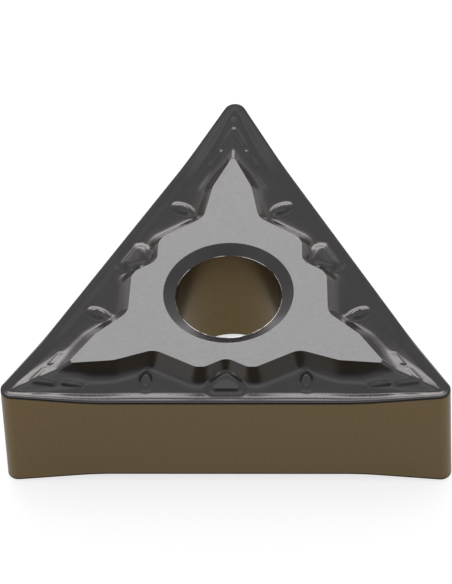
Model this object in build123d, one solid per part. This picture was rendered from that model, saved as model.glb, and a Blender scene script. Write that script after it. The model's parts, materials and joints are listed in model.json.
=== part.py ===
from build123d import *
from math import atan2, cos, hypot, radians, sin, tan
import os

# A double-sided triangular cutting insert: one piece of sintered carbide.
# The origin is the middle of the bore, half way between the two ground seats.
# +Z is the bore's axis, and one cutting corner points along +Y.
# All lengths are in millimetres, and all angles in degrees.
# A reach is a distance from the bore's axis. A drop is a depth below the seat.
# A gap is a distance beyond the tip of an arm.

# Outline
sides = 3
inscribed_circle = 9.525
nose_radius = 0.4

# Heights
half_thickness = 2.42
corner_drop = 0.08
middle_drop = 0.40
floor_drop = 0.52

# Cutting edge: level along the middle of a side, then climbing to both corners
level_half_length = 4.63
climb_bend_radius = 12.0

# Section of the rake, from the cutting edge inwards: land, small step, shelf and slope
land_width = 0.17
step_width = 0.05
step_depth = 0.02
shelf_width = 0.06
slope_width = 0.27

# Star-shaped seat and the walls below it
wall_angle = 45.0
foot_radius = 0.28
foot_steps = 2
valley_radius = 0.66
notch_radius = 0.40
arm_tip_reach = 6.50
arm_tip_radius = 0.10
arm_shoulder_reach = 5.02
arm_shoulder_half_width = 0.70
arm_shoulder_radius = 0.8
arm_flare = 11.3
lobe_reach = 3.42
lobe_offset = 0.92
lobe_half_width = 0.16
lobe_corner_radius = 0.35
lobe_outer_slope = 27.7
lobe_inner_slope = 27.0

# Ridge from each arm of the seat to the nose
ridge_drop = 0.09
ridge_slope = 23.0
ridge_fall_length = 0.80
ridge_end_reach = 8.60
ridge_edge_margin = 0.25
dot_radius = 0.12
dot_height = 0.02
dot_sides = 8
dot_draft = 60.0

# Beads on both flanks of the ridge
bead_width = 0.24
bead_height = 0.045
bead_draft = 50.0
bead_corner_share = 0.3
outer_bead_reach = 7.57
outer_bead_offset = 0.21
outer_bead_length = 0.86
inner_bead_gap = 0.17
inner_bead_offset = 0.66
inner_bead_length = 0.75

# Boss in the notch at the middle of each side, with its front tilted down
boss_drop = 0.32
boss_tip_reach = 3.36
boss_shoulder_reach = 3.86
boss_front_reach = 4.14
boss_half_width = 0.46
boss_front_half_width = 0.42
boss_corner_radius = 0.12
boss_draft = 45.0
boss_front_tilt = 15.0
boss_root_cover = 0.10

# Drop-shaped ribs before the walls, two on each side
rib_offset = 2.84
rib_head_reach = 3.56
rib_length = 0.62
rib_head_radius = 0.28
rib_tail_radius = 0.12
rib_facets = 8
rib_height = 0.14
rib_tilt = 11.0
rib_crest_share = 0.4
rib_root_cover = 0.02

# Bore, with a cone at each mouth
bore_diameter = 3.81
mouth_diameter = 4.67
mouth_depth = 0.22

# Sizes that follow from the ones above
side_reach = inscribed_circle / 2
half_corner = 90 - 180 / sides
corner_reach = side_reach / sin(radians(half_corner))
nose_centre_reach = corner_reach - nose_radius / sin(radians(half_corner))
nose_centre_offset = nose_centre_reach * cos(radians(half_corner))
corner_height = half_thickness - corner_drop
middle_height = half_thickness - middle_drop
floor_height = half_thickness - floor_drop
slope_depth = floor_drop - middle_drop - step_depth
ridge_height = half_thickness - ridge_drop
ridge_fall_from = arm_tip_reach - arm_tip_radius
ridge_level_from = ridge_fall_from + ridge_fall_length
inner_bead_reach = arm_tip_reach + inner_bead_gap
ridge_fall = tan(radians(ridge_slope))
core_height = floor_height / 2
overhang = 0.5
clear_height = half_thickness + overhang


def around(shape):
    """The shape and its copies at the other sides or corners."""
    return [Rot(0, 0, turn * 360 / sides) * shape for turn in range(sides)]


def both_hands(shape):
    """The shape and its mirror image across the middle of a side."""
    return [shape, mirror(shape, about=Plane.YZ)]


def upright(x, y):
    """A plane that stands across the insert at a place, for a cross-section seen from -Y."""
    return Plane((x, y, 0), x_dir=(1, 0, 0), z_dir=(0, -1, 0))


def leaning(angle):
    """The upward direction, tilted by an angle towards the cutting edge at -Y."""
    return (0, -sin(radians(angle)), cos(radians(angle)))


def make_outline():
    """The plan of the insert: a triangle with its noses rounded."""
    triangle = RegularPolygon(side_reach, sides, major_radius=False, rotation=90)
    return fillet(triangle.vertices(), nose_radius)


def rake_section():
    """Pairs of distance in from the edge and depth below it, one for each kink of the rake."""
    step_end = land_width + step_width
    shelf_end = step_end + shelf_width
    slope_end = shelf_end + slope_width
    floor_depth = step_depth + slope_depth
    return [
        (-overhang, 0),
        (land_width, 0),
        (step_end, step_depth),
        (shelf_end, step_depth),
        (slope_end, floor_depth),
        (side_reach, floor_depth),
    ]


def air_above_edge():
    """Everything above one cutting edge, as a face that stands along the side."""
    climb = atan2(corner_height - middle_height, nose_centre_offset - level_half_length)
    setback = climb_bend_radius * tan(climb / 2)
    bend_start = (level_half_length - setback, middle_height)
    bend_end = (level_half_length + setback * cos(climb), middle_height + setback * sin(climb))
    bend = TangentArc(bend_start, bend_end, tangent=(1, 0))
    rise = Polyline(bend_end, (nose_centre_offset, corner_height), (nose_centre_offset, clear_height))
    other_bend = mirror(bend, about=Plane.YZ)
    other_rise = mirror(rise, about=Plane.YZ)
    level = Line(other_bend @ 0, bend @ 0)
    top = Line(rise @ 1, other_rise @ 1)
    lines = [level, bend, *rise.edges(), top, *other_rise.edges(), *other_bend.edges()]
    return Plane.XZ * make_face(lines)


def make_side_cutter():
    """What the rake of one side removes: the edge's line carried inwards along the section."""
    air = air_above_edge()
    section = rake_section()
    strips = []
    for (start, start_depth), (end, end_depth) in zip(section, section[1:]):
        face = Pos(0, start - side_reach, -start_depth) * air
        move = Vector(0, end - start, start_depth - end_depth)
        strips.append(extrude(face, amount=move.length, dir=move))
    far = 2 * corner_reach
    wedge = Polygon(
        (0, 0),
        (-far * cos(radians(half_corner)), -far * sin(radians(half_corner))),
        (far * cos(radians(half_corner)), -far * sin(radians(half_corner))),
        align=None,
    )
    return (strips[0] + strips[1:]) & extrude(wedge, 2 * clear_height)


def make_nose_cutter():
    """The same section turned about the nose, so that the land follows the rounded corner."""
    points = []
    section = rake_section()
    for (start, start_depth), (end, end_depth) in zip(section, section[1:]):
        points.append((nose_radius - start, corner_height - start_depth))
        if end >= nose_radius:
            share = (nose_radius - start) / (end - start)
            points.append((0, corner_height - start_depth - share * (end_depth - start_depth)))
            break
    points += [(0, clear_height), (nose_radius + overhang, clear_height)]
    profile = Plane.XZ * make_face(Polyline(*points, close=True))
    return Pos(0, nose_centre_reach, 0) * revolve(profile, Axis.Z)


def make_arm_plan():
    """One pointed arm of the seat, which reaches towards the corner at +Y."""
    root_half_width = arm_shoulder_half_width + arm_shoulder_reach * tan(radians(arm_flare))
    plan = Polygon(
        (root_half_width, 0),
        (arm_shoulder_half_width, arm_shoulder_reach),
        (0, arm_tip_reach),
        (-arm_shoulder_half_width, arm_shoulder_reach),
        (-root_half_width, 0),
        align=None,
    )
    shoulders = plan.vertices().sort_by(Axis.Y)[-3:-1]
    plan = fillet(shoulders, arm_shoulder_radius)
    tip = plan.vertices().sort_by(Axis.Y)[-1]
    return fillet(tip, arm_tip_radius)


def make_lobe_plan():
    """One of the two rounded lobes of the seat in the middle of the side at -Y."""
    outer_x = lobe_offset + lobe_half_width
    inner_x = lobe_offset - lobe_half_width
    outer_fall = tan(radians(lobe_outer_slope))
    inner_fall = tan(radians(lobe_inner_slope))
    arm_fall = tan(radians(half_corner))
    back = arm_fall * (lobe_reach + outer_x * outer_fall) / (arm_fall + outer_fall)
    plan = Polygon(
        (outer_x, -lobe_reach),
        (back / arm_fall, -back),
        (0, 0),
        (inner_x - (lobe_reach - back) / inner_fall, -back),
        (inner_x, -lobe_reach),
        align=None,
    )
    front_corners = plan.vertices().sort_by(Axis.Y)[:2]
    return fillet(front_corners, lobe_corner_radius)


def sharp_corners(plan):
    """The corners where two straight lines of a plan meet, nearest to the bore first."""
    line_ends = [end for line in plan.edges().filter_by(GeomType.LINE) for end in line.vertices()]
    corners = [v for v in plan.vertices() if sum(v.is_same(end) for end in line_ends) == 2]
    return sorted(corners, key=lambda corner: hypot(corner.X, corner.Y))


def make_seat_plan():
    """The star that is ground flat: three arms and six lobes, with rounded valleys between them."""
    lobe, other_lobe = both_hands(make_lobe_plan())
    star = lobe + [other_lobe, *around(make_arm_plan()), *around(lobe)[1:], *around(other_lobe)[1:]]
    star = fillet(sharp_corners(star)[sides:], valley_radius)
    return fillet(sharp_corners(star), notch_radius)


def make_seat():
    """The star on its walls, which spread downwards and end in a rounded foot on the rake's floor."""
    plan = make_seat_plan()
    foot_spread = floor_drop / tan(radians(wall_angle)) + foot_radius * tan(radians(wall_angle / 2))
    turns = [radians(wall_angle * step / foot_steps) for step in range(foot_steps + 1)]
    levels = [
        (foot_spread - foot_radius * sin(turn), floor_height + foot_radius * (1 - cos(turn)))
        for turn in turns
    ]
    slopes = [wall_angle * (step + 0.5) / foot_steps for step in range(foot_steps)] + [wall_angle]
    tops = [height for _, height in levels[1:]] + [half_thickness]
    seat = extrude(Pos(0, 0, core_height) * offset(plan, foot_spread), floor_height - core_height)
    for (spread, height), top, slope in zip(levels, tops, slopes):
        seat += extrude(Pos(0, 0, height) * offset(plan, spread), top - height, taper=90 - slope)
    return seat


def ridge_station(reach, crest):
    """The cross-section of a ridge: a triangle under its crest, falling to both sides."""
    half_width = (crest - core_height) / ridge_fall
    triangle = Polygon((-half_width, core_height), (half_width, core_height), (0, crest), align=None)
    return upright(0, reach) * triangle


def make_ridge(outline):
    """The ridge from an arm of the seat to its nose, with a round end and a small dot on it."""
    stations = [
        ridge_station(arm_shoulder_reach, half_thickness),
        ridge_station(ridge_fall_from, half_thickness),
        ridge_station(ridge_level_from, ridge_height),
        ridge_station(ridge_end_reach, ridge_height),
    ]
    rise = ridge_height - core_height
    end = Pos(0, ridge_end_reach, core_height + rise / 2) * Cone(rise / ridge_fall, 0, rise)
    dot_plan = Pos(0, ridge_end_reach, ridge_height - dot_height) * RegularPolygon(dot_radius, dot_sides)
    dot = extrude(dot_plan, 2 * dot_height, taper=dot_draft)
    inside = extrude(offset(outline, -ridge_edge_margin), clear_height, both=True)
    return (loft(stations, ruled=True) + end) & inside, dot


def make_bead(reach, offset_from_ridge, length):
    """A low oblong mound that lies on the ridge's right flank, parallel to the cutting edge."""
    crest = ridge_height
    if reach < ridge_level_from:
        crest += ridge_drop * (ridge_level_from - reach) / ridge_fall_length
    height = crest - offset_from_ridge * ridge_fall
    along = Vector(sin(radians(half_corner)), -cos(radians(half_corner)), 0)
    normal = Vector(sin(radians(ridge_slope)), 0, cos(radians(ridge_slope)))
    along_flank = along - normal * along.dot(normal)
    flank = Plane((offset_from_ridge, reach, height), x_dir=along_flank, z_dir=normal)
    root_width = bead_width + 2 * bead_height
    oblong = Rectangle(length, root_width)
    oblong = chamfer(oblong.vertices(), bead_corner_share * root_width)
    return extrude(flank * Pos(0, 0, -bead_height) * oblong, 2 * bead_height, taper=bead_draft)


def make_boss():
    """The arched pad in the notch of the seat, with sloping sides and a front that tilts down."""
    plan = Polygon(
        (0, -boss_tip_reach),
        (-boss_half_width, -boss_shoulder_reach),
        (-boss_front_half_width, -boss_front_reach),
        (boss_front_half_width, -boss_front_reach),
        (boss_half_width, -boss_shoulder_reach),
        align=None,
    )
    plan = fillet(plan.vertices(), boss_corner_radius)
    top = half_thickness - boss_drop
    pad = extrude(Pos(0, 0, top) * plan, floor_height - boss_root_cover - top, taper=-boss_draft)
    front_top = Plane((0, -boss_shoulder_reach, top), x_dir=(1, 0, 0), z_dir=leaning(boss_front_tilt))
    air = Rectangle(2 * boss_front_reach, boss_front_reach, align=(Align.CENTER, Align.MAX))
    return pad - extrude(front_top * air, overhang)


def drop_plan(head_radius, tail_radius):
    """A drop-shaped plan with its blunt head at the origin and its tail towards -Y."""
    head = RegularPolygon(head_radius, rib_facets)
    tail = Pos(0, -rib_length) * RegularPolygon(tail_radius, rib_facets)
    return make_hull(head.edges() + tail.edges())


def make_rib():
    """A drop-shaped rib before the wall of the seat, which sinks into the floor towards the edge."""
    root_plan = drop_plan(rib_head_radius, rib_tail_radius)
    crest_plan = drop_plan(rib_head_radius * rib_crest_share, rib_tail_radius * rib_crest_share)
    root = Plane((0, 0, -rib_root_cover), x_dir=(1, 0, 0), z_dir=leaning(rib_tilt)) * root_plan
    crest = Plane((0, 0, rib_height), x_dir=(1, 0, 0), z_dir=leaning(rib_tilt)) * crest_plan
    return Pos(rib_offset, -rib_head_reach, floor_height) * loft([root, crest], ruled=True)


def make_upper_half():
    """Everything above the middle plane, without the bore."""
    outline = make_outline()
    half = extrude(outline, half_thickness)
    half = half - around(make_side_cutter()) - around(make_nose_cutter())
    half = half + make_seat()
    ridge, dot = make_ridge(outline)
    beads = [
        make_bead(outer_bead_reach, outer_bead_offset, outer_bead_length),
        make_bead(inner_bead_reach, inner_bead_offset, inner_bead_length),
    ]
    half = half + around(ridge) + around(make_boss())
    for rib in both_hands(make_rib()):
        half = half + around(rib)
    half = half + around(dot)
    for bead in beads:
        for handed in both_hands(bead):
            half = half + around(handed)
    return half


def make_insert():
    """The whole insert: two mirrored halves, bored through, with a cone at each mouth."""
    half = make_upper_half()
    bore = Cylinder(bore_diameter / 2, 2 * clear_height)
    widening = (mouth_diameter - bore_diameter) / 2
    cone = Pos(0, 0, half_thickness - mouth_depth / 2) * Cone(
        bore_diameter / 2, bore_diameter / 2 + widening, mouth_depth
    )
    whole = half + mirror(half, about=Plane.XY)
    return whole - bore - cone - mirror(cone, about=Plane.XY)


insert = make_insert()
os.makedirs("parts", exist_ok=True)
export_step(insert, "parts/insert.step")
print("insert:", round(insert.volume, 2), "cubic mm,", len(insert.faces()), "faces")
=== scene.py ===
# %% [markdown]
# # A pressed and coated carbide insert
#
# The real part is one small piece of sintered carbide with three cutting corners on each face.
# The powder is pressed to shape, so its chipbreaker is soft and rounded, while the star-shaped
# seat in the middle of each face is ground flat and bright after coating. This lesson loads the
# CAD part as a fixed frame, lays one fine skin over it, and gives that skin its six finishes.

# %% Load the frame
import json
from math import cos, hypot, pi, radians, sin, tan

import bmesh
import bpy
import numpy as np
from mathutils import Matrix, Vector


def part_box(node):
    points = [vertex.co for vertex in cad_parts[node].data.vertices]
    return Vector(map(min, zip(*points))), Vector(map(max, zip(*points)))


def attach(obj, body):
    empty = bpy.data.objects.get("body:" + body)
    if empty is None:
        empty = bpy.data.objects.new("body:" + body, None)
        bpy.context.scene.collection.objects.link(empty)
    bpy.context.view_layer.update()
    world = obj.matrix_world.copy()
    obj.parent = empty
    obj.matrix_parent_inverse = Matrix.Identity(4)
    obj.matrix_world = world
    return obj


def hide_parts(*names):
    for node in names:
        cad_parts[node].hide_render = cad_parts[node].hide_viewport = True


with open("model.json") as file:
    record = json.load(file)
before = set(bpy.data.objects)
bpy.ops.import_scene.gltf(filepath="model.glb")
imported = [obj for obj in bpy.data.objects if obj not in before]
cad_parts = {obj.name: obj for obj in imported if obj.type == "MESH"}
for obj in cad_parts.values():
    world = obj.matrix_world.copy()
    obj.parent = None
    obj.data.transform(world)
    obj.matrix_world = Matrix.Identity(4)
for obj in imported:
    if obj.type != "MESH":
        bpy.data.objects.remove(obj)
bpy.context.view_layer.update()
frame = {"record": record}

# %% [markdown]
# ## The main sizes
#
# Blender works in metres here, but a part of this size is easier to read in millimetres, so the
# shape is worked out in millimetres and scaled once, when a vertex gets its place. The sizes that
# the frame knows are read from it: the height of the seat, the distance to each side, the radius
# of the noses and the radius of the bore.

# %% Sizes that the frame gives
MM = 0.001
SIDES = 3
HALF_CORNER = radians(90 - 180 / SIDES)
TO_CORNER = radians(120)

low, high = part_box("insert")
SEAT_HEIGHT = high.z / MM
SIDE_REACH = -low.y / MM
CORNER_REACH = SIDE_REACH / sin(HALF_CORNER)
NOSE_RADIUS = (CORNER_REACH - high.y / MM) / (1 / sin(HALF_CORNER) - 1)
NOSE_CENTRE_REACH = CORNER_REACH - NOSE_RADIUS / sin(HALF_CORNER)
NOSE_CENTRE_X = NOSE_CENTRE_REACH * cos(HALF_CORNER)

bore_mount = next(m for m in frame["record"]["mounts"] if m["name"] == "bore")
BORE_RADIUS = bore_mount["dims"]["r_mm"]
print("seat at", round(SEAT_HEIGHT, 3), "sides at", round(SIDE_REACH, 4))
print("nose radius", round(NOSE_RADIUS, 3), "bore radius", round(BORE_RADIUS, 3))

# %% [markdown]
# ## Soft meetings between surfaces
#
# A pressed form has no knife-sharp inner corners. Where two surfaces meet, the higher one wins,
# and a small fillet fills the corner between them. This rule is enough to build the whole
# chipbreaker from simple slopes, because each form is only a height above the middle plane.


# %% Helpers for heights
def soft_max(one, other, fillet):
    """The higher of two heights, with a fillet of this height where they are nearly equal."""
    overlap = np.maximum(fillet - np.abs(one - other), 0)
    return np.maximum(one, other) + overlap**2 / (4 * fillet)


def soft_min(one, other, fillet):
    """The lower of two heights, with their meeting rounded."""
    return -soft_max(-one, -other, fillet)


def ramp(distance, start, end, rounding):
    """0 before start and 1 after end, straight between them, with both bends rounded."""
    rise = soft_max(distance - start, 0.0, rounding) - soft_max(distance - end, 0.0, rounding)
    return rise / (end - start)


def turned(x, y, angle):
    """A place in plan, turned about the bore."""
    return x * cos(angle) - y * sin(angle), x * sin(angle) + y * cos(angle)


print("two heights of 1 with a fillet of 0.2 meet at", round(float(soft_max(1.0, 1.0, 0.2)), 3))


# %% [markdown]
# ## The star-shaped seat
#
# Three pointed arms and six rounded lobes make one star. Half of one side of it, from the notch
# in the middle of the side to the tip of the arm, has only six corners. Each corner is rounded
# with its own radius by a short arc, and the result is sampled evenly along its length.

# %% Half of one side of the star
ARM_TIP_REACH = 6.50
ARM_SHOULDER_REACH = 5.02
ARM_SHOULDER_HALF_WIDTH = 0.70
ARM_FLARE = radians(11.3)
LOBE_REACH = 3.42
LOBE_OFFSET = 0.92
LOBE_HALF_WIDTH = 0.16
LOBE_OUTER_SLOPE = radians(27.7)
LOBE_INNER_SLOPE = radians(28.5)
NOTCH_ROUNDING = 0.50
LOBE_ROUNDING = 0.35
VALLEY_ROUNDING = 0.66
SHOULDER_ROUNDING = 0.80
TIP_ROUNDING = 0.10
ARC_STEPS = 12
ROUND_OFF = 1e-9


def beside_arm(reach, half_width):
    """A corner of the right-hand arm, in the frame of the side at -Y."""
    return turned(half_width, reach, -TO_CORNER)


def star_corners():
    """The corners of half a side of the star with their rounding, from the notch to the tip."""
    notch = (0, -LOBE_REACH + (LOBE_OFFSET - LOBE_HALF_WIDTH) * tan(LOBE_INNER_SLOPE))
    lobe_inner = (LOBE_OFFSET - LOBE_HALF_WIDTH, -LOBE_REACH)
    lobe_outer = (LOBE_OFFSET + LOBE_HALF_WIDTH, -LOBE_REACH)
    shoulder = beside_arm(ARM_SHOULDER_REACH, ARM_SHOULDER_HALF_WIDTH)
    tip = beside_arm(ARM_TIP_REACH, 0)
    flank_angle = ARM_FLARE - HALF_CORNER
    run = shoulder[0] - lobe_outer[0]
    drop = shoulder[1] - lobe_outer[1] - run * tan(flank_angle)
    valley_run = drop / (tan(LOBE_OUTER_SLOPE) - tan(flank_angle))
    valley = (lobe_outer[0] + valley_run, lobe_outer[1] + valley_run * tan(LOBE_OUTER_SLOPE))
    return [
        ((-notch[0] - 1, notch[1] - tan(LOBE_INNER_SLOPE)), 0),
        (notch, NOTCH_ROUNDING),
        (lobe_inner, LOBE_ROUNDING),
        (lobe_outer, LOBE_ROUNDING),
        (valley, VALLEY_ROUNDING),
        (shoulder, SHOULDER_ROUNDING),
        (tip, TIP_ROUNDING),
        (beside_arm(ARM_SHOULDER_REACH, -ARM_SHOULDER_HALF_WIDTH), 0),
    ]


def rounded_line(corners):
    """Points along a line of corners, each corner rounded by an arc of its own radius."""
    points = []
    for (before, _), (corner, radius), (after, _) in zip(corners, corners[1:], corners[2:]):
        here = Vector(corner)
        back = (Vector(before) - here).normalized()
        ahead = (Vector(after) - here).normalized()
        half = back.angle(ahead) / 2
        centre = here + (back + ahead).normalized() * radius / sin(half)
        start = here + back * radius / tan(half) - centre
        end = here + ahead * radius / tan(half) - centre
        for step in range(ARC_STEPS + 1):
            points.append(centre + radius * start.slerp(end, step / ARC_STEPS))
    return np.array([tuple(p) for p in points])


star_line = rounded_line(star_corners())
bisector = np.array([cos(HALF_CORNER), -sin(HALF_CORNER)])
side_of_bisector = star_line[:, 0] * bisector[1] - star_line[:, 1] * bisector[0]
star_line = star_line[(star_line[:, 0] >= -ROUND_OFF) & (side_of_bisector >= -ROUND_OFF)]
print("star: half a side has", len(star_line), "points")
print("from", star_line[0].round(3), "to", star_line[-1].round(3))


# %% Distances in plan
def along(line):
    """The length of a line up to each of its points."""
    return np.concatenate([[0], np.cumsum(np.hypot(*np.diff(line, axis=0).T))])


def distance_to_line(x, y, line):
    """The shortest distance from places in plan to a line of short straight pieces."""
    start = line[:-1]
    piece = np.diff(line, axis=0)
    to_x = x[..., None] - start[:, 0]
    to_y = y[..., None] - start[:, 1]
    share = np.clip((to_x * piece[:, 0] + to_y * piece[:, 1]) / (piece**2).sum(axis=1), 0, 1)
    return np.hypot(to_x - share * piece[:, 0], to_y - share * piece[:, 1]).min(axis=-1)


def distance_to_edge(x, y):
    """How far in from the cutting edge a place is, round the nose too."""
    beyond = x - NOSE_CENTRE_X
    behind = y + SIDE_REACH - NOSE_RADIUS
    return np.where(beyond > 0, NOSE_RADIUS - np.hypot(beyond, behind), y + SIDE_REACH)


print("from the notch to the edge:", distance_to_edge(*star_line[0]).round(3), "mm")


# %% [markdown]
# ## The edge and the floor of the chipbreaker
#
# The chipbreaker curls the chip and snaps it. It could be sculpted, or cut from a solid, but all
# of it can be seen from above, so a height for each place in plan is enough and keeps every size
# in sight. The heights are worked out for half of one side, with x along the edge and y across
# it. The edge itself climbs from the middle of the side to both corners, and the section inwards
# is a narrow land, a tiny step, a shelf and a slope.

# %% The edge and the floor of the rake
CORNER_HEIGHT = SEAT_HEIGHT - 0.075
MIDDLE_HEIGHT = SEAT_HEIGHT - 0.39
LEVEL_HALF_LENGTH = 4.80
CLIMB = (CORNER_HEIGHT - MIDDLE_HEIGHT) / (NOSE_CENTRE_X - LEVEL_HALF_LENGTH)
CLIMB_ROUNDING = 0.08
CLIMB_END_ROUNDING = 0.02
STEP = (0.13, 0.175)
STEP_DEPTH = 0.02
STEP_ROUNDING = 0.012
SLOPE = (0.25, 0.54)
SLOPE_DEPTH = 0.08
SLOPE_ROUNDING = 0.035
NARROWING = (3.5, 7.0)
NARROWING_LOSS = 0.30
NARROWING_ROUNDING = 0.5
COVE_REACH = 1.05
COVE_HEIGHT = 0.12


def edge_height(x):
    """The height of the cutting edge above the middle plane."""
    climbing = MIDDLE_HEIGHT + (x - LEVEL_HALF_LENGTH) * CLIMB
    climbed = soft_max(MIDDLE_HEIGHT, climbing, CLIMB_ROUNDING)
    return soft_min(climbed, CORNER_HEIGHT, CLIMB_END_ROUNDING)


def section_width(x):
    """How wide the section of the edge is: 1 in the middle of a side and less at the corners."""
    return 1 - NARROWING_LOSS * ramp(x, *NARROWING, NARROWING_ROUNDING)


def rake_floor(x, outward, inward):
    """The rake without the forms on it: a section from the edge, and a cove near the seat."""
    inward = inward / section_width(x)
    stepped = ramp(inward, *STEP, STEP_ROUNDING)
    sloped = ramp(inward, *SLOPE, SLOPE_ROUNDING)
    cove = COVE_HEIGHT * np.maximum(1 - outward / COVE_REACH, 0) ** 2 * sloped
    return edge_height(x) - (STEP_DEPTH * stepped + SLOPE_DEPTH * sloped) + cove


edge_ends = edge_height(np.array([0, NOSE_CENTRE_X]))
print("edge: from", edge_ends[0].round(3), "in the middle to", edge_ends[1].round(3), "at a nose")

# %% [markdown]
# ## The ridge towards each nose
#
# From the tip of each arm a low roof runs out to the nose. It has a narrow spine that starts at
# the arm's tip, a small dot at its end and two long beads on each flank, which hold a thin chip
# off the surface. Both flanks are alike, so the roof is a function of the distance from the
# bisector of the corner, and each bead is a mound with round ends.

# %% The ridge, its dot and its beads
RIDGE_HEIGHT = SEAT_HEIGHT - 0.12
RIDGE_FALL = tan(radians(23))
RIDGE_TOP_ROUNDING = 0.06
RIDGE_END_REACH = 8.15
RIDGE_END_FALL = 0.11
RIDGE_FADES_BELOW = 5.6
SPINE_FROM = 6.40
SPINE_DESCENT = tan(radians(13))
SPINE_FALL = tan(radians(42))
SPINE_ROUNDING = 0.10
SPINE_FILLET = 0.015
DOT_REACH = 8.70
DOT_RADIUS = 0.15
DOT_HEIGHT = 0.018
BEAD_HALF_WIDTH = 0.14
BEAD_FILLET = 0.004
DOME_POWER = 1.5

# Each bead has its distance from the bisector, its reach from the bore, its length and its height.
BEADS = [(0.21, 7.57, 0.94, 0.036), (0.66, 6.67, 0.86, 0.046)]


def ridge_surface(across, reach):
    """The roof towards the nose, with a narrow spine; across is the distance from the bisector."""
    past_end = np.maximum(reach - RIDGE_END_REACH, 0) * RIDGE_END_FALL / RIDGE_FALL
    sideways = np.sqrt(across**2 + past_end**2 + RIDGE_TOP_ROUNDING**2) - RIDGE_TOP_ROUNDING
    roof = RIDGE_HEIGHT - np.maximum(RIDGE_FADES_BELOW - reach, 0) ** 2 - RIDGE_FALL * sideways
    descent = SPINE_DESCENT * np.maximum(reach - SPINE_FROM, 0)
    spine = SEAT_HEIGHT - descent - SPINE_FALL * (np.hypot(across, SPINE_ROUNDING) - SPINE_ROUNDING)
    return soft_max(roof, spine, SPINE_FILLET)


def dome(distance, height):
    """A low mound: distance is 0 in its middle and 1 at its foot."""
    return height * np.clip(1 - distance**2, 0, 1) ** DOME_POWER


def ridge_mounds(across, reach):
    """The small dot at the end of the ridge and the two beads on its flank."""
    mounds = dome(np.hypot(across, reach - DOT_REACH) / DOT_RADIUS, DOT_HEIGHT)
    for bead_across, bead_reach, length, bead_height in BEADS:
        right = across - bead_across
        ahead = reach - bead_reach
        lengthwise = right * sin(HALF_CORNER) - ahead * cos(HALF_CORNER)
        sideways = right * cos(HALF_CORNER) + ahead * sin(HALF_CORNER)
        past_straight = np.maximum(np.abs(lengthwise) - length / 2 + BEAD_HALF_WIDTH, 0)
        bead = dome(np.hypot(past_straight, sideways) / BEAD_HALF_WIDTH, bead_height)
        mounds = soft_max(mounds, bead, BEAD_FILLET)
    return mounds


ridge_end = float(ridge_surface(0.0, RIDGE_END_REACH))
print("ridge: top at", round(ridge_end, 3), "at its end; beads on a flank:", len(BEADS))

# %% [markdown]
# ## The boss and the ribs
#
# In each notch of the star stands an arched pad on a low skirt, and below each valley lies an
# egg-shaped rib. The pad is a mound with a flat top and leaning sides, so it is the lowest of a
# few leaning planes. The rib is an oval cone with its point cut off.

# %% The boss and the ribs
BOSS_HEIGHT = SEAT_HEIGHT - 0.265
BOSS_PLAN = [(-3.51, 0.0), (-3.99, 0.385), (-4.15, 0.33)]
BOSS_FALLS = [tan(radians(27)), tan(radians(42)), tan(radians(40))]
BOSS_ROUNDING = 0.04
SKIRT_HEIGHT = SEAT_HEIGHT - 0.39
SKIRT_PLAN = [(-3.20, 0.0), (-3.60, 0.33), (-4.10, 0.53), (-4.33, 0.43)]
SKIRT_FALLS = [tan(radians(30)), tan(radians(30)), tan(radians(34)), tan(radians(34))]
SKIRT_TILT = tan(radians(3))
SKIRT_ROUNDING = 0.03
SKIRT_FILLET = 0.05
BOSS_TILT = tan(radians(9))
BOSS_TILTS_BEYOND = 3.75
APEX_ROUNDING = 0.12
BOSS_FILLET = 0.06
RIB_CENTRE = (2.85, -3.72)
RIB_HALF_SIZE = (0.28, 0.50)
RIB_FALL = tan(radians(38))
RIB_HEIGHT = 0.12
RIB_TILT = tan(radians(1))
RIB_FILLET = 0.05
RIB_CREST_ROUNDING = 0.010


def frustum_drop(x, y, corners, falls, rounding):
    """How far a place is below the top of a mound whose leaning sides have their own falls.

    The right half of the top's plan is given as y, x pairs from the back to the front, and the
    last fall is that of the front.
    """
    drop = -(y - corners[-1][0]) * falls[-1]
    for (back_y, back_x), (front_y, front_x), fall in zip(corners, corners[1:], falls):
        length = hypot(front_x - back_x, front_y - back_y)
        normal = ((back_y - front_y) / length, (front_x - back_x) / length)
        outside = (x - back_x) * normal[0] + (y - back_y) * normal[1]
        drop = soft_max(drop, outside * fall, 2 * rounding)
    return soft_max(drop, 0.0, rounding)


def boss_surface(x, y):
    """The arched pad in the notch, on a low and wider skirt; both tilt down to the front."""
    x = np.hypot(x, APEX_ROUNDING) - APEX_ROUNDING
    ahead = np.maximum(-y - BOSS_TILTS_BEYOND, 0)
    pad = BOSS_HEIGHT - BOSS_TILT * ahead - frustum_drop(x, y, BOSS_PLAN, BOSS_FALLS, BOSS_ROUNDING)
    skirt = SKIRT_HEIGHT - SKIRT_TILT * ahead
    skirt = skirt - frustum_drop(x, y, SKIRT_PLAN, SKIRT_FALLS, SKIRT_ROUNDING)
    return soft_max(pad, skirt, SKIRT_FILLET)


def rib_mound(x, y):
    """The egg-shaped rib below each valley of the seat, which sinks towards the cutting edge."""
    half_width, half_length = RIB_HALF_SIZE
    ahead = y - RIB_CENTRE[1]
    inside = 1 - np.hypot((x - RIB_CENTRE[0]) / half_width, ahead / half_length)
    crest = RIB_HEIGHT + RIB_TILT * ahead
    mound = soft_min(inside * half_width * RIB_FALL, crest, RIB_CREST_ROUNDING)
    return soft_max(mound, 0.0, RIB_FILLET)


boss_front = float(boss_surface(0.0, BOSS_PLAN[-1][0]))
print("boss: front of its top at", round(boss_front, 3), "rib: height", RIB_HEIGHT)

# %% [markdown]
# ## The walls and all forms together
#
# A wall falls from the star's outline to the floor. It is steeper in the notch, and its foot has
# a wider fillet along the arms. The forms are then laid over each other with the rule of the
# higher surface, and nothing may rise above the seat, because the seat is ground flat last.

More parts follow.
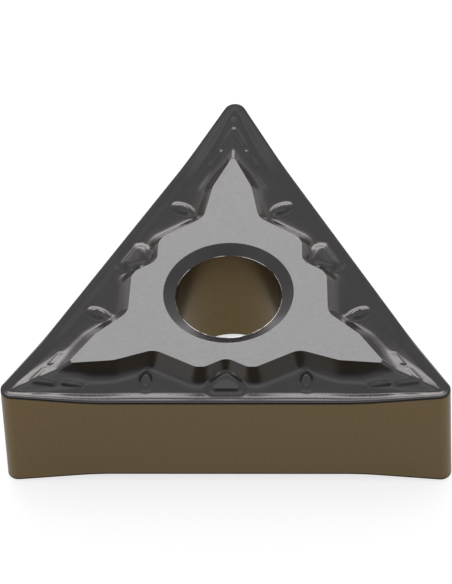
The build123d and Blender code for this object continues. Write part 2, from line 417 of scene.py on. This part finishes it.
# %% All forms together
WALL_FALL = tan(radians(45))
NOTCH_WALL_FALL = tan(radians(51))
NOTCH_ENDS = (0.45, 0.90)
NOTCH_END_ROUNDING = 0.1
WALL_FILLET = 0.10
ARM_FILLET = 0.22
ARM_STARTS = (3.0, 4.2)
ARM_START_ROUNDING = 0.3
RIDGE_FILLET = 0.05


def wall_surface(x, outward):
    """The wall that falls away from the seat's outline, and is steepest in the notch."""
    past_notch = ramp(x, *NOTCH_ENDS, NOTCH_END_ROUNDING)
    fall = NOTCH_WALL_FALL + (WALL_FALL - NOTCH_WALL_FALL) * past_notch
    return SEAT_HEIGHT - fall * outward


def rake_height(x, y, outward, inward):
    """The rake's height at a place, from its distances to the seat's outline and to the edge."""
    across, reach = turned(x, y, TO_CORNER)
    across = np.abs(across)
    along_arm = ramp(x, *ARM_STARTS, ARM_START_ROUNDING)
    wall_fillet = WALL_FILLET + (ARM_FILLET - WALL_FILLET) * along_arm
    surface = rake_floor(x, outward, inward) + rib_mound(x, y)
    surface = soft_max(surface, wall_surface(x, outward), wall_fillet)
    surface = soft_max(surface, boss_surface(x, y), BOSS_FILLET)
    surface = soft_max(surface, ridge_surface(across, reach), RIDGE_FILLET)
    surface = surface + ridge_mounds(across, reach)
    return np.minimum(surface, SEAT_HEIGHT)


wall_foot = (SEAT_HEIGHT - MIDDLE_HEIGHT) / WALL_FALL
print("wall: down to the height of the edge", round(wall_foot, 2), "mm outside the star")


# %% [markdown]
# ## A net of lines and rings
#
# The skin is a net like a topographic map's. Its lines run from the bore over the seat and down
# to the cutting edge, and its rings run around. Near the seat a ring keeps its distance to the
# star, near the edge it keeps its distance to the edge, and between the two the rings share the
# room. Every crease of the real part then lies on a ring, and stays crisp.

# %% Where each line starts and ends
LINES = 140
AROUND = 2 * LINES * SIDES
CROWDING = 0.30
WALL_RINGS = [0.0, 0.12, 0.24, 0.34, 0.42, 0.50, 0.58, 0.68]
MIDDLE_RINGS = 22
EDGE_RINGS = [
    0.60, 0.55, 0.50, 0.40, 0.30, 0.24, 0.185, 0.165, 0.137, 0.12, 0.08, 0.05, 0.020, 0.0,
]
HONE = {0.05: 0.0, 0.020: 0.007, 0.0: 0.030}
NOSE_STEPS = 60
SEARCH_STEPS = 400

steps = np.linspace(0, 1, LINES + 1)
line_shares = (1 + CROWDING) * steps - CROWDING * steps**2


def shared_out(line):
    """Places on a line of points, at the same shares of its length for every such line."""
    length = along(line)
    places = [np.interp(line_shares * length[-1], length, line[:, k]) for k in range(2)]
    return np.stack(places, axis=1)


nose_turn = np.linspace(0, pi / 2 - HALF_CORNER, NOSE_STEPS)
nose_arc_x = NOSE_CENTRE_X + NOSE_RADIUS * np.sin(nose_turn)
nose_arc_y = NOSE_RADIUS - SIDE_REACH - NOSE_RADIUS * np.cos(nose_turn)
edge_line = np.concatenate([[[0, -SIDE_REACH]], np.stack([nose_arc_x, nose_arc_y], axis=1)])
line_start = shared_out(star_line)
line_end = shared_out(edge_line)
print("lines: from", line_start[0].round(3), "at the star to", line_end[0].round(3), "at the edge")


# %% Where each ring crosses each line
def on_lines(shares):
    """The x and y of places on every line, at shares of the way from the star to the edge."""
    way = line_end - line_start
    return line_start[:, :1] + way[:, :1] * shares, line_start[:, 1:] + way[:, 1:] * shares


search = np.linspace(0, 1, SEARCH_STEPS)
search_x, search_y = on_lines(search)
outward = np.maximum.accumulate(distance_to_line(search_x, search_y, star_line), axis=1)
inward = np.minimum.accumulate(distance_to_edge(search_x, search_y), axis=1)


def crossings(line):
    """The shares of one line's length at which the rings cross it."""
    near_seat = np.interp(WALL_RINGS, outward[line], search)
    width = section_width(line_end[line, 0])
    near_edge = np.interp([-d * width for d in EDGE_RINGS], -inward[line], search)
    near_seat[0] = 0
    near_edge[-1] = 1
    between = np.linspace(near_seat[-1], near_edge[0], MIDDLE_RINGS + 2)[1:-1]
    return np.concatenate([near_seat, between, near_edge])


share_along = np.array([crossings(line) for line in range(LINES + 1)])
rake_x, rake_y = on_lines(share_along)
rake_outward = distance_to_line(rake_x, rake_y, star_line)
rake_inward = distance_to_edge(rake_x, rake_y)
rake_z = rake_height(rake_x, rake_y, rake_outward, np.maximum(rake_inward, 0))
rake_z[:, 0] = SEAT_HEIGHT
for distance, drop in HONE.items():
    ring = len(WALL_RINGS) + MIDDLE_RINGS + EDGE_RINGS.index(distance)
    rake_z[:, ring] = edge_height(rake_x[:, ring]) - drop
print("rake: rings", rake_z.shape[1])
print("rake: heights from", rake_z.min().round(3), "to", rake_z.max().round(3))

# %% [markdown]
# ## The rings of the bore and the flank
#
# The bore is a plain cylinder with a short cone at each mouth, and a narrow lip where the coating
# has worn bright. The flank falls straight down from the edge. Each is a handful of rings, with
# more of them where a finish changes.

# %% Rings inside the star and below the edge
MOUTH_RADIUS = 2.335
MOUTH_DEPTH = 0.22
LIP = 0.015
LIP_RISE = 0.003
SEAT_MARGIN = 0.01
SEAT_CORNER = 0.012
BELOW_EDGE = [0.06, 0.10, 0.14, 0.22, 0.40, 0.80]

start_angle = np.arctan2(line_start[:, 1], line_start[:, 0])
column = np.ones(LINES + 1)


def round_ring(radius, height):
    """One ring about the bore, as x, y and z for every line."""
    return radius * np.cos(start_angle), radius * np.sin(start_angle), height * column


mouth_floor = SEAT_HEIGHT - MOUTH_DEPTH
cone_fall = (MOUTH_DEPTH - LIP_RISE) / (MOUTH_RADIUS - BORE_RADIUS - LIP)
bore_rings = [
    round_ring(BORE_RADIUS, 0),
    round_ring(BORE_RADIUS, mouth_floor * 0.5),
    round_ring(BORE_RADIUS, mouth_floor),
    round_ring(BORE_RADIUS + LIP, mouth_floor + LIP_RISE),
    round_ring(BORE_RADIUS + 2 * LIP, mouth_floor + LIP_RISE + LIP * cone_fall),
    round_ring(MOUTH_RADIUS - LIP, SEAT_HEIGHT - LIP * cone_fall),
    round_ring(MOUTH_RADIUS, SEAT_HEIGHT),
    round_ring(MOUTH_RADIUS + SEAT_MARGIN, SEAT_HEIGHT),
]
inner_edge = 1 - SEAT_CORNER / np.hypot(line_start[:, 0], line_start[:, 1])
seat_rings = [(line_start[:, 0] * inner_edge, line_start[:, 1] * inner_edge, SEAT_HEIGHT * column)]
rake_rings = [(rake_x[:, k], rake_y[:, k], rake_z[:, k]) for k in range(rake_z.shape[1])]
edge_z = rake_z[:, -1]
flank_rings = [(line_end[:, 0], line_end[:, 1], edge_z - depth) for depth in BELOW_EDGE]
flank_rings.append((line_end[:, 0], line_end[:, 1], 0 * column))

rings = bore_rings + seat_rings + rake_rings + flank_rings
print("skin: rings", len(rings), "lines around", AROUND)

# %% [markdown]
# ## Lay a grid on the net
#
# A bmesh grid has as many columns as the net has lines around, and as many rows as it has rings.
# Every vertex is moved from the flat grid to its place on the net. The two ends of the grid are
# then welded, the half is mirrored across the middle plane, and the two halves are welded too.

# %% Build the skin
WELD = 1e-7
EDGE_RING = len(bore_rings) + len(seat_rings) + rake_z.shape[1] - 1
# The edge finish is a dark line of painted shade along the honed edge.
FINISHES = ["bore", "lip", "coat", "seat", "coat", "edge", "flank"]
FIRST_RING = [0, 2, 3, 6, len(bore_rings) + len(seat_rings), EDGE_RING - 1, EDGE_RING + 1]


def place(ring, column_index):
    """The place of one vertex of the net, in metres."""
    side, step = divmod(column_index % AROUND, 2 * LINES)
    line = abs(step - LINES)
    x, y, z = (rings[ring][k][line] for k in range(3))
    x = x if step >= LINES else -x
    x, y = turned(x, y, side * 2 * pi / SIDES)
    return Vector((x, y, z)) * MM


def make_skin():
    """The whole insert as one closed mesh, with a finish number on each face."""
    bm = bmesh.new()
    bmesh.ops.create_grid(bm, x_segments=AROUND, y_segments=len(rings) - 1, size=1)
    rows = len(rings) - 1
    for face in bm.faces:
        row = int((face.calc_center_median().y + 1) / 2 * rows)
        face.material_index = max(k for k, first in enumerate(FIRST_RING) if row >= first)
        face.smooth = True
    for vertex in bm.verts:
        around = round((vertex.co.x + 1) / 2 * AROUND)
        ring = round((vertex.co.y + 1) / 2 * rows)
        vertex.co = place(ring, around)
    bmesh.ops.remove_doubles(bm, verts=bm.verts, dist=WELD)
    everything = bm.verts[:] + bm.edges[:] + bm.faces[:]
    bmesh.ops.mirror(bm, geom=everything, matrix=Matrix.Identity(4), merge_dist=WELD, axis="Z")
    bmesh.ops.remove_doubles(bm, verts=bm.verts, dist=WELD)
    bmesh.ops.recalc_face_normals(bm, faces=bm.faces)
    mesh = bpy.data.meshes.new("carbide_insert")
    bm.to_mesh(mesh)
    bm.free()
    return mesh


SHARP_ANGLE = radians(28)
skin = make_skin()
skin.set_sharp_from_angle(angle=SHARP_ANGLE)
insert = bpy.data.objects.new("carbide_insert", skin)
bpy.context.scene.collection.objects.link(insert)
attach(insert, "root")
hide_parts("insert")
print("skin: vertices", len(skin.vertices), "faces", len(skin.polygons))

# %% [markdown]
# ## Nodes that every finish needs
#
# The insert has six finishes: a black coat with a painted sheen on its steep walls, a ground seat,
# a bronze flank, a bronze bore, a honed edge painted dark as shade and a worn lip. Picture textures
# could carry them, but noise nodes stay sharp from any distance. Every pattern reads Object
# coordinates, which are metres here, so a scale of 10 000 gives a detail of about 0.1 mm.


# %% Helpers for materials
NOISE_RANGE = (0.3, 0.7)
MIX_COLOUR_A, MIX_COLOUR_B, MIX_RESULT = 6, 7, 2


def new_material(name):
    """An empty node material with a Principled shader, and a short way to add and join nodes."""
    material = bpy.data.materials.new(name)
    material.use_nodes = True
    tree = material.node_tree
    shader = tree.nodes["Principled BSDF"]
    coordinates = tree.nodes.new("ShaderNodeTexCoord")
    return material, tree, shader, coordinates.outputs["Object"]


def noise(tree, coordinates, scale, detail=3.0, stretch=(1, 1, 1)):
    """Noise at a scale in patterns per metre, stretched along the axes."""
    mapping = tree.nodes.new("ShaderNodeMapping")
    mapping.inputs["Scale"].default_value = stretch
    texture = tree.nodes.new("ShaderNodeTexNoise")
    texture.inputs["Scale"].default_value = scale
    texture.inputs["Detail"].default_value = detail
    tree.links.new(coordinates, mapping.inputs["Vector"])
    tree.links.new(mapping.outputs["Vector"], texture.inputs["Vector"])
    return texture.outputs["Fac"]


def ramp_colours(tree, value, stops):
    """Colours along a value, as pairs of position and linear colour."""
    node = tree.nodes.new("ShaderNodeValToRGB")
    elements = node.color_ramp.elements
    while len(elements) < len(stops):
        elements.new(1)
    for element, (position, colour) in zip(elements, stops):
        element.position = position
        element.color = (*colour, 1)
    tree.links.new(value, node.inputs["Fac"])
    return node.outputs["Color"]


def spread(tree, value, low_end, high_end):
    """A noise value spread over another range, for roughness."""
    node = tree.nodes.new("ShaderNodeMapRange")
    node.inputs["From Min"].default_value = NOISE_RANGE[0]
    node.inputs["From Max"].default_value = NOISE_RANGE[1]
    node.inputs["To Min"].default_value = low_end
    node.inputs["To Max"].default_value = high_end
    tree.links.new(value, node.inputs["Value"])
    return node.outputs["Result"]


def steepness(tree, flat, steep):
    """0 where the surface lies flat and 1 where it is steep, from the upward part of its normal."""
    geometry = tree.nodes.new("ShaderNodeNewGeometry")
    split = tree.nodes.new("ShaderNodeSeparateXYZ")
    tree.links.new(geometry.outputs["Normal"], split.inputs["Vector"])
    upward = tree.nodes.new("ShaderNodeMath")
    upward.operation = "ABSOLUTE"
    tree.links.new(split.outputs["Z"], upward.inputs[0])
    node = tree.nodes.new("ShaderNodeMapRange")
    node.inputs["From Min"].default_value = flat
    node.inputs["From Max"].default_value = steep
    tree.links.new(upward.outputs["Value"], node.inputs["Value"])
    return node.outputs["Result"]


def mixed(tree, share, colour, other):
    """A colour that turns into a plain other colour as the share grows from 0 to 1."""
    node = tree.nodes.new("ShaderNodeMix")
    node.data_type = "RGBA"
    tree.links.new(share, node.inputs["Factor"])
    tree.links.new(colour, node.inputs[MIX_COLOUR_A])
    node.inputs[MIX_COLOUR_B].default_value = (*other, 1)
    return node.outputs[MIX_RESULT]


def bump(tree, shader, height, distance, strength=1.0):
    """Fine relief from a value; distance is in metres."""
    node = tree.nodes.new("ShaderNodeBump")
    node.inputs["Strength"].default_value = strength
    node.inputs["Distance"].default_value = distance
    tree.links.new(height, node.inputs["Height"])
    tree.links.new(node.outputs["Normal"], shader.inputs["Normal"])


print("noise is read between", NOISE_RANGE)

# %% [markdown]
# ## The black coating
#
# The coat is a hard layer of a few thousandths of a millimetre, grown on the insert in a furnace.
# It is black and smooth with a trace of purple. Its steep walls get a lighter brown, which is
# painted sheen for the brownish light on them. One black paint would do for the flat parts. Here
# the upward part of the normal picks the colour, so the painted sheen follows the shape.

# %% The black coating
COAT_COLOURS = [(0.35, (0.010, 0.0085, 0.0095)), (0.65, (0.016, 0.014, 0.0155))]
# Painted sheen: the lighter brown that the steep walls get.
PAINTED_WALL_SHEEN = (0.028, 0.0215, 0.015)
COAT_ROUGHNESS = (0.15, 0.21)
COAT_IOR = 1.50
COAT_TINT = (1.0, 0.98, 1.0, 1)


def make_coat():
    """The coat: black and smooth, with a painted brown sheen on the steep walls."""
    material, tree, shader, spot = new_material("black_coat")
    grain = noise(tree, spot, scale=9000, detail=4)
    cloud = noise(tree, spot, scale=600, detail=2)
    colour = ramp_colours(tree, cloud, COAT_COLOURS)
    # The steep walls turn lighter brown here: painted sheen.
    colour = mixed(tree, steepness(tree, flat=0.82, steep=0.72), colour, PAINTED_WALL_SHEEN)
    tree.links.new(colour, shader.inputs["Base Color"])
    tree.links.new(spread(tree, grain, *COAT_ROUGHNESS), shader.inputs["Roughness"])
    shader.inputs["IOR"].default_value = COAT_IOR
    shader.inputs["Specular Tint"].default_value = COAT_TINT
    bump(tree, shader, grain, distance=0.7e-6, strength=0.6)
    return material


finishes = {"coat": make_coat()}
print("finish:", finishes["coat"].name)

# %% [markdown]
# ## The ground seat
#
# The star is ground flat after coating, so it shows bare carbide, a satin grey metal with faint
# lines from the wheel. The lines could be cut as grooves, but they are far finer than the mesh,
# so a noise that is stretched along x gives both the colour and the relief.

# %% The ground seat
SEAT_COLOURS = [(0.3, (0.225, 0.225, 0.230)), (0.7, (0.250, 0.250, 0.255))]
SEAT_ROUGHNESS = (0.40, 0.46)
GRINDING = (0.35, 1, 1)


def make_seat_finish():
    """Bare metal with faint grinding lines along x."""
    material, tree, shader, spot = new_material("ground_seat")
    lines = noise(tree, spot, scale=16000, detail=3, stretch=GRINDING)
    cloud = noise(tree, spot, scale=900, detail=2)
    tree.links.new(ramp_colours(tree, lines, SEAT_COLOURS), shader.inputs["Base Color"])
    tree.links.new(spread(tree, cloud, *SEAT_ROUGHNESS), shader.inputs["Roughness"])
    shader.inputs["Metallic"].default_value = 1.0
    bump(tree, shader, lines, distance=0.8e-6, strength=0.5)
    return material


finishes["seat"] = make_seat_finish()
print("finish:", finishes["seat"].name)

# %% [markdown]
# ## The bronze flank and bore
#
# On the flank and in the bore a bronze layer is left, with a fine mottle from the sintered
# powder. The two differ only in shade and roughness, so one function makes both, as a metal
# whose colour, roughness and relief come from the same noise.

# %% The bronze flank and bore
FLANK_BRONZE = ((0.104, 0.072, 0.034), (0.130, 0.092, 0.045))
FLANK_ROUGHNESS = (0.34, 0.46)
BORE_BRONZE = ((0.112, 0.079, 0.036), (0.140, 0.098, 0.045))
BORE_ROUGHNESS = (0.28, 0.34)


def make_bronze(name, shades, roughness):
    """A bronze layer with a fine mottle between two shades."""
    material, tree, shader, spot = new_material(name)
    mottle = noise(tree, spot, scale=12000, detail=4)
    colour = ramp_colours(tree, mottle, list(zip(NOISE_RANGE, shades)))
    shader.inputs["Metallic"].default_value = 1.0
    tree.links.new(colour, shader.inputs["Base Color"])
    tree.links.new(spread(tree, mottle, *roughness), shader.inputs["Roughness"])
    bump(tree, shader, mottle, distance=0.8e-6, strength=0.4)
    return material


finishes["flank"] = make_bronze("bronze_flank", FLANK_BRONZE, FLANK_ROUGHNESS)
finishes["bore"] = make_bronze("bronze_bore", BORE_BRONZE, BORE_ROUGHNESS)
print("finishes:", finishes["flank"].name, finishes["bore"].name)

# %% [markdown]
# ## The honed edge and the lip of the bore
#
# The cutting edge is honed round, and a thin dark line round the insert is painted on it as shade,
# with a near-black colour that mirrors little. The lip of the bore has lost its coat in places,
# where bare metal shines. Each is one or two rows of faces, so a material of its own is simpler
# than a mask.

# %% The honed edge and the lip of the bore
# Painted shade: the near-black line along the honed edge.
PAINTED_EDGE_SHADE_COLOURS = [(0.35, (0.008, 0.006, 0.004)), (0.65, (0.018, 0.014, 0.010))]
LIP_COLOURS = [(0.46, (0.03, 0.028, 0.025)), (0.56, (0.42, 0.41, 0.40))]


def make_painted_edge_shade():
    """The thin dark line along the cutting edge, painted shade on the honed edge."""
    material, tree, shader, spot = new_material("honed_edge_painted_shade")
    chips = noise(tree, spot, scale=4000, detail=4)
    tree.links.new(ramp_colours(tree, chips, PAINTED_EDGE_SHADE_COLOURS), shader.inputs["Base Color"])
    shader.inputs["Roughness"].default_value = 0.45
    shader.inputs["Specular IOR Level"].default_value = 0.1
    return material


def make_lip():
    """The lip of the bore, dark with patches that are worn bright."""
    material, tree, shader, spot = new_material("worn_lip")
    patches = noise(tree, spot, scale=1500, detail=4)
    tree.links.new(ramp_colours(tree, patches, LIP_COLOURS), shader.inputs["Base Color"])
    shader.inputs["Metallic"].default_value = 1.0
    shader.inputs["Roughness"].default_value = 0.25
    return material


finishes["edge"] = make_painted_edge_shade()
finishes["lip"] = make_lip()
print("finishes:", finishes["edge"].name, finishes["lip"].name)

# %% [markdown]
# ## The finishes go on the skin
#
# Each face got a finish number when the skin was built, from the ring that it lies on. The
# materials only have to be added in the same order.

# %% Put the finishes on the skin
for finish in FINISHES:
    skin.materials.append(finishes[finish])
print("skin: finishes", FINISHES)

# %% [markdown]
# ## The camera
#
# The photograph looks down on the part with one corner pointing away. Its pose was solved from
# the outline of the real photograph, as an azimuth, an elevation, a roll, a distance and a small
# sideways move, and its focal length in pixels of a frame 452 by 584.

# %% Camera
IMAGE_HEIGHT_PX = 584
FOCAL_PX = 6270.5
CAMERA_AZIMUTH = 3.754
CAMERA_ELEVATION = 49.938
CAMERA_ROLL = radians(-2.909)
CAMERA_DISTANCE = 225.96 * MM
CAMERA_MOVE = (-0.1655 * MM, 1.5777 * MM)
SENSOR = 36.0


def direction(azimuth, elevation):
    """The way out from the part at an azimuth, which is 0 at the front, and an elevation."""
    turn, tilt = radians(azimuth), radians(elevation)
    return Vector((sin(turn) * cos(tilt), -cos(turn) * cos(tilt), sin(tilt)))


back = direction(CAMERA_AZIMUTH, CAMERA_ELEVATION)
level_right = Vector((0, 0, 1)).cross(back).normalized()
level_up = back.cross(level_right)
right = cos(CAMERA_ROLL) * level_right + sin(CAMERA_ROLL) * level_up
up = cos(CAMERA_ROLL) * level_up - sin(CAMERA_ROLL) * level_right

camera_data = bpy.data.cameras.new("camera")
camera_data.sensor_width = SENSOR
camera_data.lens = FOCAL_PX * SENSOR / IMAGE_HEIGHT_PX
camera_data.clip_start = 0.01
camera = bpy.data.objects.new("camera", camera_data)
camera.rotation_euler = Matrix((right, up, back)).transposed().to_euler()
camera.location = CAMERA_MOVE[0] * right + CAMERA_MOVE[1] * up + CAMERA_DISTANCE * back
bpy.context.scene.collection.objects.link(camera)
bpy.context.scene.camera = camera
print("camera at", [round(c, 4) for c in camera.location], "lens", round(camera_data.lens, 1))

# %% [markdown]
# ## The white floor and the white world
#
# Small glossy parts are lit by what they mirror. A white floor and a white surround fill the
# broad reflections. Both look white to the camera and in reflections, but give less light than
# they show, so that the lamps still shape the part. The floor is clear from underneath.

# %% Floor
FLOOR_HALF_SIZE = 1.5
FLOOR_GAP = 0.005 * MM
FLOOR_COLOUR = (0.5, 0.5, 0.5)
FLOOR_GLOW = 0.70


def make_matte(shader, colour):
    """Turn a Principled shader into a plain cloth or paper of one colour."""
    shader.inputs["Base Color"].default_value = (*colour, 1)
    shader.inputs["Roughness"].default_value = 1.0
    shader.inputs["Specular IOR Level"].default_value = 0.0


def white_for_eyes(tree):
    """1 for camera, glossy and transmission rays, and 0 for the rays that light things."""
    light_path = tree.nodes.new("ShaderNodeLightPath")
    total = light_path.outputs["Is Camera Ray"]
    for name in ("Is Glossy Ray", "Is Transmission Ray"):
        node = tree.nodes.new("ShaderNodeMath")
        node.operation = "MAXIMUM"
        tree.links.new(total, node.inputs[0])
        tree.links.new(light_path.outputs[name], node.inputs[1])
        total = node.outputs["Value"]
    return total


def make_floor_finish():
    """A pale paper that glows a little, and is clear from underneath to show the lower face."""
    material, tree, shader, _ = new_material("white_floor")
    make_matte(shader, FLOOR_COLOUR)
    scale = tree.nodes.new("ShaderNodeMath")
    scale.operation = "MULTIPLY"
    scale.inputs[1].default_value = FLOOR_GLOW
    tree.links.new(white_for_eyes(tree), scale.inputs[0])
    glow = tree.nodes.new("ShaderNodeEmission")
    tree.links.new(scale.outputs["Value"], glow.inputs["Strength"])
    added = tree.nodes.new("ShaderNodeAddShader")
    tree.links.new(shader.outputs["BSDF"], added.inputs[0])
    tree.links.new(glow.outputs["Emission"], added.inputs[1])
    clear = tree.nodes.new("ShaderNodeBsdfTransparent")
    geometry = tree.nodes.new("ShaderNodeNewGeometry")
    either = tree.nodes.new("ShaderNodeMixShader")
    tree.links.new(geometry.outputs["Backfacing"], either.inputs[0])
    tree.links.new(added.outputs["Shader"], either.inputs[1])
    tree.links.new(clear.outputs["BSDF"], either.inputs[2])
    tree.links.new(either.outputs["Shader"], tree.nodes["Material Output"].inputs["Surface"])
    return material


def make_floor():
    """A flat floor just below the part."""
    bm = bmesh.new()
    bmesh.ops.create_grid(bm, x_segments=1, y_segments=1, size=FLOOR_HALF_SIZE)
    bmesh.ops.translate(bm, verts=bm.verts, vec=(0, 0, low.z - FLOOR_GAP))
    mesh = bpy.data.meshes.new("floor")
    bm.to_mesh(mesh)
    bm.free()
    mesh.materials.append(make_floor_finish())
    floor = bpy.data.objects.new("floor", mesh)
    bpy.context.scene.collection.objects.link(floor)


make_floor()
print("floor:", FLOOR_GAP / MM, "mm below the part")

# %% World
WORLD_LIGHT = 0.62

world = bpy.data.worlds.new("surround")
world.use_nodes = True
bpy.context.scene.world = world
sky = world.node_tree
lighting = sky.nodes["Background"]
lighting.inputs["Color"].default_value = (1, 1, 1, 1)
level = sky.nodes.new("ShaderNodeMapRange")
level.inputs["To Min"].default_value = WORLD_LIGHT
level.inputs["To Max"].default_value = 1.0
sky.links.new(white_for_eyes(sky), level.inputs["Value"])
sky.links.new(level.outputs["Result"], lighting.inputs["Strength"])
print("world: shows 1.0 and gives", WORLD_LIGHT)

# %% [markdown]
# ## Two soft lamps
#
# One large soft lamp hangs overhead, and a low one behind gives the bright lines along the slopes
# that lean away from the camera. Their faces fade towards the rim, as the cloth of a soft box
# does, because a hard-edged lamp would draw hard shapes in the black coat.

# %% Lamps
LAMP_DISTANCE = 0.40
HALF_FACE = 0.5
FADED_RIM = 0.35


def soft_face(data, radiance):
    """A lamp's face that fades towards its rim, as the cloth of a soft box does."""
    data.use_nodes = True
    tree = data.node_tree
    glow = tree.nodes["Emission"]
    geometry = tree.nodes.new("ShaderNodeNewGeometry")
    split = tree.nodes.new("ShaderNodeSeparateXYZ")
    tree.links.new(geometry.outputs["Parametric"], split.inputs["Vector"])
    fade = None
    for axis in ("X", "Y"):
        rise = tree.nodes.new("ShaderNodeMath")
        rise.operation = "PINGPONG"
        rise.inputs[1].default_value = HALF_FACE
        tree.links.new(split.outputs[axis], rise.inputs[0])
        step = tree.nodes.new("ShaderNodeMapRange")
        step.interpolation_type = "SMOOTHSTEP"
        step.inputs["From Max"].default_value = FADED_RIM
        tree.links.new(rise.outputs["Value"], step.inputs["Value"])
        if fade is None:
            fade = step.outputs["Result"]
        else:
            both = tree.nodes.new("ShaderNodeMath")
            both.operation = "MULTIPLY"
            tree.links.new(fade, both.inputs[0])
            tree.links.new(step.outputs["Result"], both.inputs[1])
            fade = both.outputs["Value"]
    tree.links.new(fade, glow.inputs["Strength"])
    data.energy = radiance * pi * data.size * data.size_y


def soft_lamp(name, azimuth, elevation, wide, tall, radiance, colour):
    """A rectangular soft lamp that looks at the part; its sizes are seen angles in degrees."""
    data = bpy.data.lights.new(name, "AREA")
    data.shape = "RECTANGLE"
    data.size = 2 * LAMP_DISTANCE * tan(radians(wide / 2))
    data.size_y = 2 * LAMP_DISTANCE * tan(radians(tall / 2))
    data.color = colour
    soft_face(data, radiance)
    lamp = bpy.data.objects.new(name, data)
    lamp.location = direction(azimuth, elevation) * LAMP_DISTANCE
    lamp.rotation_euler = lamp.location.to_track_quat("Z", "Y").to_euler()
    lamp.visible_camera = False
    bpy.context.scene.collection.objects.link(lamp)


soft_lamp("overhead", 184, 78, wide=75, tall=40, radiance=0.8, colour=(1, 1, 1))
soft_lamp("back", 184, 19, wide=52, tall=40, radiance=4.6, colour=(1, 0.93, 0.92))

# %% [markdown]
# ## A dark card in front
#
# The walls that face the camera mirror the room behind it, which is darker than the floor. A
# round dark cloth stands for that room. Only glossy surfaces see it, so it takes no light away.

# %% The dark side of the studio
CARD_DISTANCE = 0.30
CARD_CORNERS = 64
DARK_CORE = 0.25


def make_cloth(name, colour, radius):
    """A matt cloth that is clear at a radius and whole near its middle."""
    material, tree, shader, spot = new_material(name)
    make_matte(shader, colour)
    from_middle = tree.nodes.new("ShaderNodeVectorMath")
    from_middle.operation = "LENGTH"
    tree.links.new(spot, from_middle.inputs[0])
    rim = tree.nodes.new("ShaderNodeMapRange")
    rim.interpolation_type = "SMOOTHSTEP"
    rim.inputs["From Min"].default_value = radius
    rim.inputs["From Max"].default_value = radius * DARK_CORE
    tree.links.new(from_middle.outputs["Value"], rim.inputs["Value"])
    tree.links.new(rim.outputs["Result"], shader.inputs["Alpha"])
    return material


def make_dark_card(name, azimuth, elevation, seen_radius, colour):
    """A round dark cloth in some direction, seen by glossy surfaces alone, with a soft rim."""
    radius = CARD_DISTANCE * tan(radians(seen_radius))
    bm = bmesh.new()
    bmesh.ops.create_circle(bm, cap_ends=True, segments=CARD_CORNERS, radius=radius)
    mesh = bpy.data.meshes.new(name)
    bm.to_mesh(mesh)
    bm.free()
    mesh.materials.append(make_cloth(name + "_cloth", colour, radius))
    card = bpy.data.objects.new(name, mesh)
    card.location = direction(azimuth, elevation) * CARD_DISTANCE
    card.rotation_euler = card.location.to_track_quat("Z", "Y").to_euler()
    bpy.context.scene.collection.objects.link(card)
    card.visible_camera = False
    card.visible_diffuse = False
    card.visible_shadow = False
    card.visible_transmission = False


make_dark_card("front_card", 4, 34, seen_radius=45, colour=(0.035, 0.033, 0.030))
bpy.context.scene.view_settings.view_transform = "Standard"
